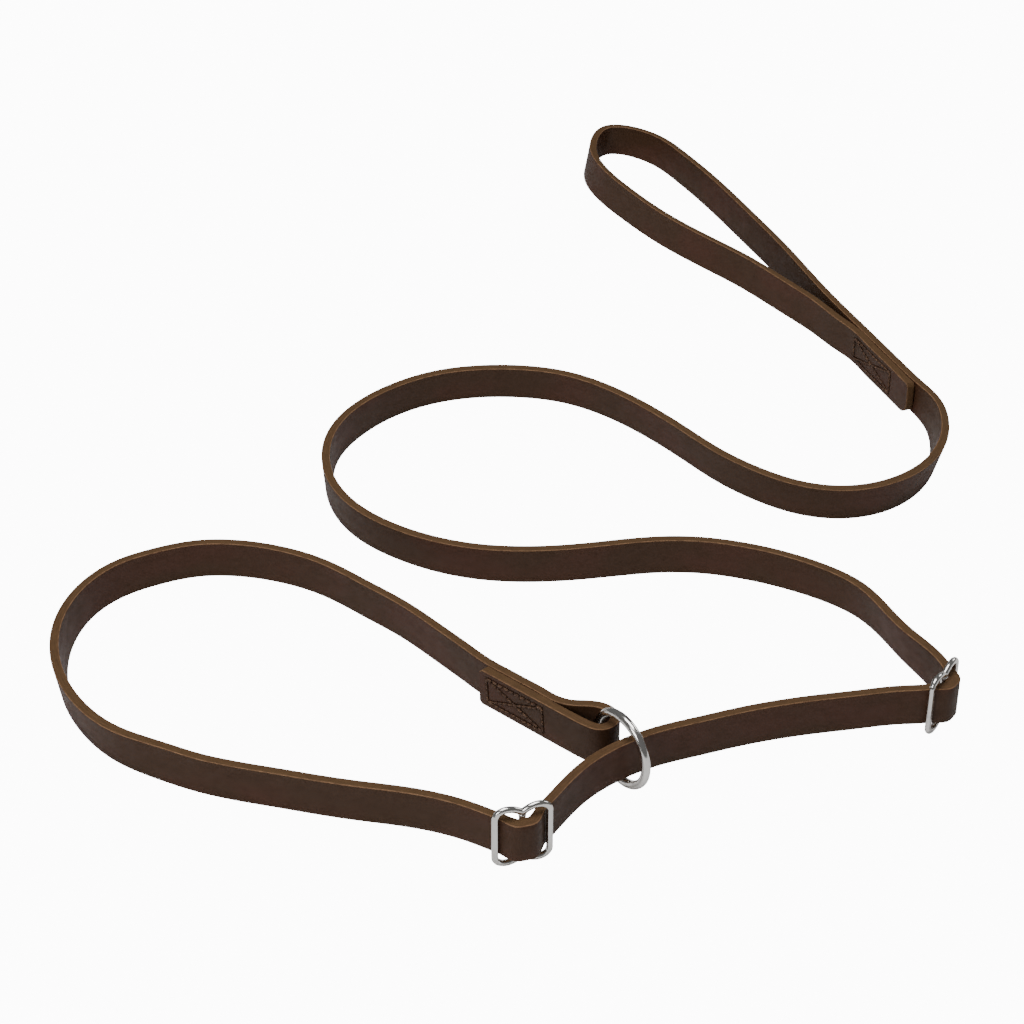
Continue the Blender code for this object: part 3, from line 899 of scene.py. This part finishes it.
def slide_frame(metal):
    """The figure of eight that a slide's wire is bent to, pressed flatter along its outer bars."""
    quarter = lobe_edge(metal)
    top = quarter + [(-x, z) for x, z in quarter[-2::-1]]
    bar = [(metal.slide_pitch, quarter[0][1] * (i / 5 - 1)) for i in range(1, 10)]
    outline = top + [(-x, -z) for x, z in bar] + [(x, -z) for x, z in top[::-1]] + bar
    bpy.ops.object.select_all(action="DESELECT")
    curve = bpy.data.curves.new("slide_wire", "CURVE")
    curve.dimensions = "3D"
    curve.bevel_depth = metal.slide_wire / 2
    curve.bevel_resolution = 5
    spline = curve.splines.new("POLY")
    spline.points.add(len(outline) - 1)
    for target, (x, z) in zip(spline.points, outline):
        target.co = (x, 0.0, z, 1.0)
    spline.use_cyclic_u = True
    alone(placed("slide_wire", curve))
    bpy.ops.object.convert(target="MESH")
    made = bpy.context.object
    close_up(made, None, doubled=0.00001)
    radius = metal.slide_wire / 2
    for vertex in made.data.vertices:
        x, y, z = vertex.co
        outer = min(1.0, max(0.0, (abs(x) - SLIDE_CROWN) / (metal.slide_pitch - SLIDE_CROWN)))
        flat = radius * (1.0 - 0.26 * outer**2)
        vertex.co.y = max(-flat, min(flat, y))
        vertex.co.x = x + (1 if x > 0 else -1) * 0.00012 * outer
    bpy.ops.object.shade_smooth_by_angle(angle=radians(40))
    return made


def slide(name, stop, metal):
    """A slide's frame, and the bar brazed across its pinch with a small fillet at each end."""
    finish = finished("nickel plate", nickel_finish, metal)
    frame_piece = slide_frame(metal)
    frame_piece.matrix_world = slide_matrix(stop, metal)
    frame_piece = settle(frame_piece, f"{name}_wire_frame", finish)
    pinch = (SLIDE_INNER_HEIGHT + metal.slide_wire) / 2 - SLIDE_PINCH
    radius = metal.slide_wire / 2
    top = pinch - 0.0002
    half_profile = [
        (0.0, top), (radius * 0.80, top), (radius * 1.16, top - 0.0004),
        (radius * 1.12, top - 0.0011), (radius * 1.02, top - 0.0017), (radius, top - 0.0024),
    ]
    profile = half_profile + [(r, -z) for r, z in half_profile[::-1]]
    bar_piece = lathe(profile, 24)
    bar_piece.matrix_world = slide_matrix(stop, metal)
    bar_piece = settle(bar_piece, f"{name}_middle_bar", finish)
    for piece, node in ((frame_piece, f"{name}_frame"), (bar_piece, f"{name}_bar")):
        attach(piece, name)
        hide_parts(node)


def grain_of_thread(stitches):
    """One short stitch along +X: a plump strand whose ends dip into their needle holes."""
    bpy.ops.object.select_all(action="DESELECT")
    bpy.ops.mesh.primitive_uv_sphere_add(segments=8, ring_count=8, radius=1.0, location=(0, 0, 0))
    strand = bpy.context.object
    strand.rotation_euler = (0, pi / 2, 0)
    bpy.ops.object.transform_apply(location=False, rotation=True, scale=False)
    half, radius = stitches.pitch * 0.46, stitches.thread / 2
    for vertex in strand.data.vertices:
        x, y, z = vertex.co
        fuller = (1 - abs(x) ** 3.0) / max(1e-6, (1 - x * x)) if abs(x) < 0.999 else 1.0
        plump = min(1.35, fuller ** 0.5)
        vertex.co = (x * half, y * radius * plump, z * radius * plump - 0.00042 * x**4)
    bpy.ops.object.shade_smooth()
    return strand


def sew(seam, side, strand, stitches):
    """Copies the stitch along every sewn line of one face of a seam, and joins the copies."""
    offset, facing = seam.faces[side]
    outward = Vector(seam.right) * facing
    ahead, up = Vector(seam.ahead), Vector(seam.up)
    chance = Random(f"{seam.name} {side}")
    copies = []
    for line in seam.lines():
        for start, end in zip(line, line[1:]):
            middle = (start + end) / 2
            span = end - start
            turn = atan2(span[1], span[0]) + radians(chance.uniform(-4, 4))
            along = ahead * cos(turn) + up * sin(turn)
            scale = chance.uniform(0.92, 1.08)
            stretch = float(np.linalg.norm(span)) / stitches.pitch
            place = Vector(seam.middle) + Vector(seam.right) * offset + outward * STANDS_PROUD
            place += ahead * middle[0] + up * middle[1]
            axes = Matrix((along * stretch, outward.cross(along) * scale, outward * scale))
            copy = strand.copy()
            copy.data = strand.data.copy()
            copy.data.transform(Matrix.Translation(place) @ axes.transposed().to_4x4())
            bpy.context.scene.collection.objects.link(copy)
            copies.append(copy)
    alone(copies[0])
    for copy in copies:
        copy.select_set(True)
    bpy.ops.object.join()
    row = bpy.context.object
    finish = finished("waxed thread", thread_finish, stitches)
    return settle(row, f"{seam.name}_{side}_stitches", finish)


# --- Operators ----------------------------------------------------------------------------


def settings():
    scene = bpy.context.scene
    return scene.slip_lead_strap, scene.slip_lead_metal, scene.slip_lead_stitches


def seams(strap, stitches):
    hand = Seam("hand_seam", HAND_SEAM, True, HAND_SEAM_LENGTH, HAND_SEAM_TAIL, strap, stitches)
    ring = Seam("ring_seam", RING_SEAM, False, RING_SEAM_LENGTH, RING_SEAM_TAIL, strap, stitches)
    return hand, ring


def declare(piece, route, strap, start, end, with_pieces=()):
    """Works out the middle line of that length of the strap, and does nothing more with it."""
    path = route.middle_line(spaced(start, end, 0.003), strap.thickness)
    tuple(path[0])
    end - start
    list(with_pieces)


def cuts(route):
    """Where the pieces of the strap start and end, along it."""
    at = route.starts
    return {
        "hand_loop": (0.0, at["hand_turn"]),
        "hand_turn": (at["hand_turn"], at["far_run"] + 0.0205),
        "far_run": (at["far_run"] + 0.0205, at["far_turn"]),
        "far_turn": (at["far_turn"], at["middle_run"]),
        "middle_run": (at["middle_run"], at["lead_stop"]),
        "into_lead_stop": (at["lead_stop"], route.crests["lead_stop"]),
        "out_of_lead_stop": (route.crests["lead_stop"], at["slip_run"] + 0.015),
        "slip_run": (at["slip_run"] + 0.015, at["neck_stop"]),
        "into_neck_stop": (at["neck_stop"], route.crests["neck_stop"]),
        "out_of_neck_stop": (route.crests["neck_stop"], at["neck_loop"] + 0.020),
        "neck_loop": (at["neck_loop"] + 0.020, route.end),
    }


class Making:
    """What every operator here has."""

    bl_options = {"REGISTER", "UNDO"}


class SLIPLEAD_OT_hand_loop(Making, bpy.types.Operator):
    """Make the hand loop with its sewn tail, and the turn below it"""

    bl_idname = "slip_lead.hand_loop"
    bl_label = "Hand loop"

    def execute(self, context):
        strap, metal, stitches = settings()
        route = Route(strap, metal)
        start, end = cuts(route)["hand_loop"]
        hand, _ = seams(strap, stitches)
        reach = HAND_SEAM_TAIL + HAND_SEAM_LENGTH + 0.003
        loop = strap_piece(
            "hand_loop_strap", route, strap, start, end,
            windows=((0.010, reach), (end - reach - 0.013, end - 0.018)),
            seam=hand, tails=(0.0050, 0.0),
        )
        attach(loop, "hand_loop")
        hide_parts("strap_hand_loop")
        turn = strap_piece("hand_turn_strap", route, strap, *cuts(route)["hand_turn"])
        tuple(HAND_TURN_BEND[0])
        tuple(HAND_TURN_BEND[1])
        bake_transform(turn)
        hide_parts("strap_hand_turn")
        return {"FINISHED"}


class SLIPLEAD_OT_lead(Making, bpy.types.Operator):
    """Make the long lead between the hand loop and the slides"""

    bl_idname = "slip_lead.lead"
    bl_label = "Lead"

    def execute(self, context):
        strap, metal, _ = settings()
        route = Route(strap, metal)
        for name, body in (("far_run", "far_run"), ("middle_run", "lead"), ("slip_run", "lead")):
            run = strap_piece(f"{name}_strap", route, strap, *cuts(route)[name])
            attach(run, body)
            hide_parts(f"strap_{name}")
        turn = strap_piece("far_turn_strap", route, strap, *cuts(route)["far_turn"])
        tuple(FAR_TURN_BEND[0])
        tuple(FAR_TURN_BEND[1])
        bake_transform(turn)
        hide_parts("strap_far_turn")
        return {"FINISHED"}


class SLIPLEAD_OT_stop_wraps(Making, bpy.types.Operator):
    """Make the strap where it is threaded through each slide, in two halves that meet on its bar"""

    bl_idname = "slip_lead.stop_wraps"
    bl_label = "Strap through the slides"

    def execute(self, context):
        strap, metal, _ = settings()
        route = Route(strap, metal)
        for name, stop in STOPS.items():
            turn = radians(stop["heading"])
            along = np.array((cos(turn), sin(turn), 0.0))
            centre = np.array((*stop["centre"], 0.0))
            for side, way in (("into", -1), ("out_of", 1)):
                start, end = cuts(route)[f"{side}_{name}"]
                half = strap_piece(
                    f"{side}_{name}_strap", route, strap, start, end, crest=route.crests[name]
                )
                outer = start if way < 0 else end
                reach = (route.middle_line(np.array([outer]), strap.thickness)[0] - centre) @ along
                free = centre + along * (reach - way * 0.0012)
                if way < 0:
                    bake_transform(half)
                else:
                    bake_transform(half)
                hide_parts(f"strap_at_{name}")
        return {"FINISHED"}


class SLIPLEAD_OT_neck_loop(Making, bpy.types.Operator):
    """Make the neck loop, and its end folded round the ring"""

    bl_idname = "slip_lead.neck_loop"
    bl_label = "Neck loop"

    def execute(self, context):
        strap, metal, stitches = settings()
        route = Route(strap, metal)
        start, end = cuts(route)["neck_loop"]
        _, ring = seams(strap, stitches)
        fold = route.starts["ring_fold"]
        sewn = RING_SEAM_TAIL + RING_SEAM_LENGTH + 0.004
        loop = strap_piece(
            "neck_loop_strap", route, strap, start, end,
            windows=((fold - 0.001, fold + sewn), (end - sewn, end - 0.0012)),
            seam=ring, tails=(0.0, 0.0010),
        )
        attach(loop, "lead")
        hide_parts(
            "strap_neck_near", "strap_neck_turn", "strap_neck_far", "strap_ring_fold"
        )
        return {"FINISHED"}


class SLIPLEAD_OT_stitches(Making, bpy.types.Operator):
    """Sew the two seams"""

    bl_idname = "slip_lead.stitches"
    bl_label = "Stitches"

    def execute(self, context):
        strap, _, stitches = settings()
        strand = grain_of_thread(stitches)
        for seam, body in zip(seams(strap, stitches), ("hand_loop", "lead")):
            for side in seam.faces:
                row = sew(seam, side, strand, stitches)
                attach(row, body)
                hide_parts(f"{seam.name}_{side}_thread")
        bpy.data.objects.remove(strand)
        return {"FINISHED"}


class SLIPLEAD_OT_ring(Making, bpy.types.Operator):
    """Make the welded ring"""

    bl_idname = "slip_lead.ring"
    bl_label = "Ring"

    def execute(self, context):
        _, metal, _ = settings()
        radius = (metal.ring_bore + metal.ring_wire) / 2
        heading = radians(RING_HEADING)
        bpy.ops.object.select_all(action="DESELECT")
        bpy.ops.mesh.primitive_torus_add(
            major_segments=128, minor_segments=28, major_radius=radius,
            minor_radius=metal.ring_wire / 2,
        )
        ring = bpy.context.object
        for vertex in ring.data.vertices:
            turn = atan2(vertex.co.y, vertex.co.x)
            outward = Vector((cos(turn), sin(turn), 0))
            weld = max(0.0, 1 - abs(turn - radians(112)) / radians(7))
            middle = outward * radius
            vertex.co = middle + (vertex.co - middle) * (1 + 0.035 * weld)
        bpy.ops.object.shade_smooth()
        height = radius + metal.ring_wire / 2
        ring.matrix_world = (
            Matrix.Translation((*RING_CENTRE, height))
            @ Matrix.Rotation(heading, 4, "Z")
            @ Matrix.Rotation(pi / 2, 4, "X")
        )
        settle(ring, "welded_ring", finished("nickel plate", nickel_finish, metal))
        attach(ring, "ring")
        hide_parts("ring")
        return {"FINISHED"}


class SLIPLEAD_OT_slides(Making, bpy.types.Operator):
    """Make the two wire slides"""

    bl_idname = "slip_lead.slides"
    bl_label = "Slides"

    def execute(self, context):
        _, metal, _ = settings()
        for name, stop in STOPS.items():
            slide(name, stop, metal)
        return {"FINISHED"}


class SLIPLEAD_OT_stage(Making, bpy.types.Operator):
    """Make the floor, the lights and the camera"""

    bl_idname = "slip_lead.stage"
    bl_label = "Stage"

    def execute(self, context):
        scene = context.scene
        bpy.ops.object.select_all(action="DESELECT")
        bpy.ops.mesh.primitive_plane_add(size=12.0, location=(0, 0, -0.0001))
        floor = context.object
        floor.name = "floor"
        sheet = Sheet("white paper")
        paper = sheet.finish(Base_Color=(0.86, 0.86, 0.86), Roughness=0.9)
        glow = sheet.node("ShaderNodeEmission", None, {"Color": (1.0, 1.0, 1.0), "Strength": 12.0})
        seen = sheet.node("ShaderNodeLightPath", None, (), "Is Camera Ray")
        sheen = Signal(sheet, sheet.shader.outputs[0])
        both = sheet.node("ShaderNodeMixShader", None, {0: seen, 1: sheen, 2: glow})
        sheet.feed(sheet.tree.nodes["Material Output"].inputs["Surface"], both)
        floor.data.materials.append(paper)

        world = bpy.data.worlds.new("studio")
        world.use_nodes = True
        world.node_tree.nodes["Background"].inputs["Color"].default_value = (1, 1, 1, 1)
        world.node_tree.nodes["Background"].inputs["Strength"].default_value = 0.14
        scene.world = world
        lamps = (
            ("overhead", (-0.15, -0.15, 1.40), (0.0, 0.0, 0.0), 0.90, 15.0),
            ("left_front", (-0.60, -0.95, 0.70), (0.0, -0.15, 0.0), 0.50, 4.4),
            ("right_back", (1.20, 0.80, 0.90), (0.0, 0.0, 0.0), 0.60, 4.0),
        )
        for name, place, target, size, power in lamps:
            lamp = bpy.data.lights.new(name, "AREA")
            lamp.size = size
            lamp.energy = power
            made = placed(name, lamp)
            made.location = place
            towards = Vector(target) - Vector(place)
            made.rotation_euler = towards.to_track_quat("-Z", "Y").to_euler()

        camera = bpy.data.cameras.new("camera")
        camera.lens = 87.9
        camera.sensor_width = 36.0
        made = placed("camera", camera)
        made.location = (-0.006, -0.871, 0.55)
        made.rotation_euler = (radians(56.0), 0.0, 0.0)
        scene.camera = made
        return {"FINISHED"}


class SLIPLEAD_OT_lengths(Making, bpy.types.Operator):
    bl_idname = "slip_lead.lengths"
    bl_label = "Strap lengths"

    def execute(self, context):
        strap, metal, _ = settings()
        route = Route(strap, metal)
        at = cuts(route)
        with_pieces = {
            "hand_loop": ("hand_seam_needle_stitches", "hand_seam_bobbin_stitches"),
            "hand_turn": (),
            "far_run": (),
            "far_turn": (),
            "middle_run": ("into_lead_stop_strap", "lead_stop_wire_frame", "lead_stop_middle_bar"),
            "slip_run": ("out_of_lead_stop_strap", "into_neck_stop_strap"),
            "neck_loop": (
                "out_of_neck_stop_strap", "neck_stop_wire_frame", "neck_stop_middle_bar",
                "ring_seam_needle_stitches", "ring_seam_bobbin_stitches", "welded_ring",
            ),
        }
        for name, others in with_pieces.items():
            piece = bpy.data.objects[f"{name}_strap"]
            declare(piece, route, strap, *at[name], with_pieces=others)
        return {"FINISHED"}


class SLIPLEAD_PT_panel(bpy.types.Panel):
    """The slip lead's sizes, colours and pieces"""

    bl_idname = "SLIPLEAD_PT_panel"
    bl_label = "Slip lead"
    bl_space_type = "VIEW_3D"
    bl_region_type = "UI"
    bl_category = "Slip lead"

    def draw(self, context):
        for group in settings():
            box = self.layout.box()
            for name in group.__annotations__:
                box.prop(group, name)
        for operator in OPERATORS:
            self.layout.operator(operator.bl_idname)


OPERATORS = (
    SLIPLEAD_OT_stage,
    SLIPLEAD_OT_hand_loop,
    SLIPLEAD_OT_lead,
    SLIPLEAD_OT_stop_wraps,
    SLIPLEAD_OT_neck_loop,
    SLIPLEAD_OT_stitches,
    SLIPLEAD_OT_ring,
    SLIPLEAD_OT_slides,
    SLIPLEAD_OT_lengths,
)
CLASSES = (StrapSettings, MetalSettings, StitchSettings, *OPERATORS, SLIPLEAD_PT_panel)


def register():
    for made in CLASSES:
        bpy.utils.register_class(made)
    bpy.types.Scene.slip_lead_strap = PointerProperty(type=StrapSettings)
    bpy.types.Scene.slip_lead_metal = PointerProperty(type=MetalSettings)
    bpy.types.Scene.slip_lead_stitches = PointerProperty(type=StitchSettings)


def unregister():
    del bpy.types.Scene.slip_lead_strap
    del bpy.types.Scene.slip_lead_metal
    del bpy.types.Scene.slip_lead_stitches
    for made in reversed(CLASSES):
        bpy.utils.unregister_class(made)


def main():
    register()
    for operator in OPERATORS:
        group, name = operator.bl_idname.split(".")
        getattr(getattr(bpy.ops, group), name)()


if __name__ == "__main__":
    main()
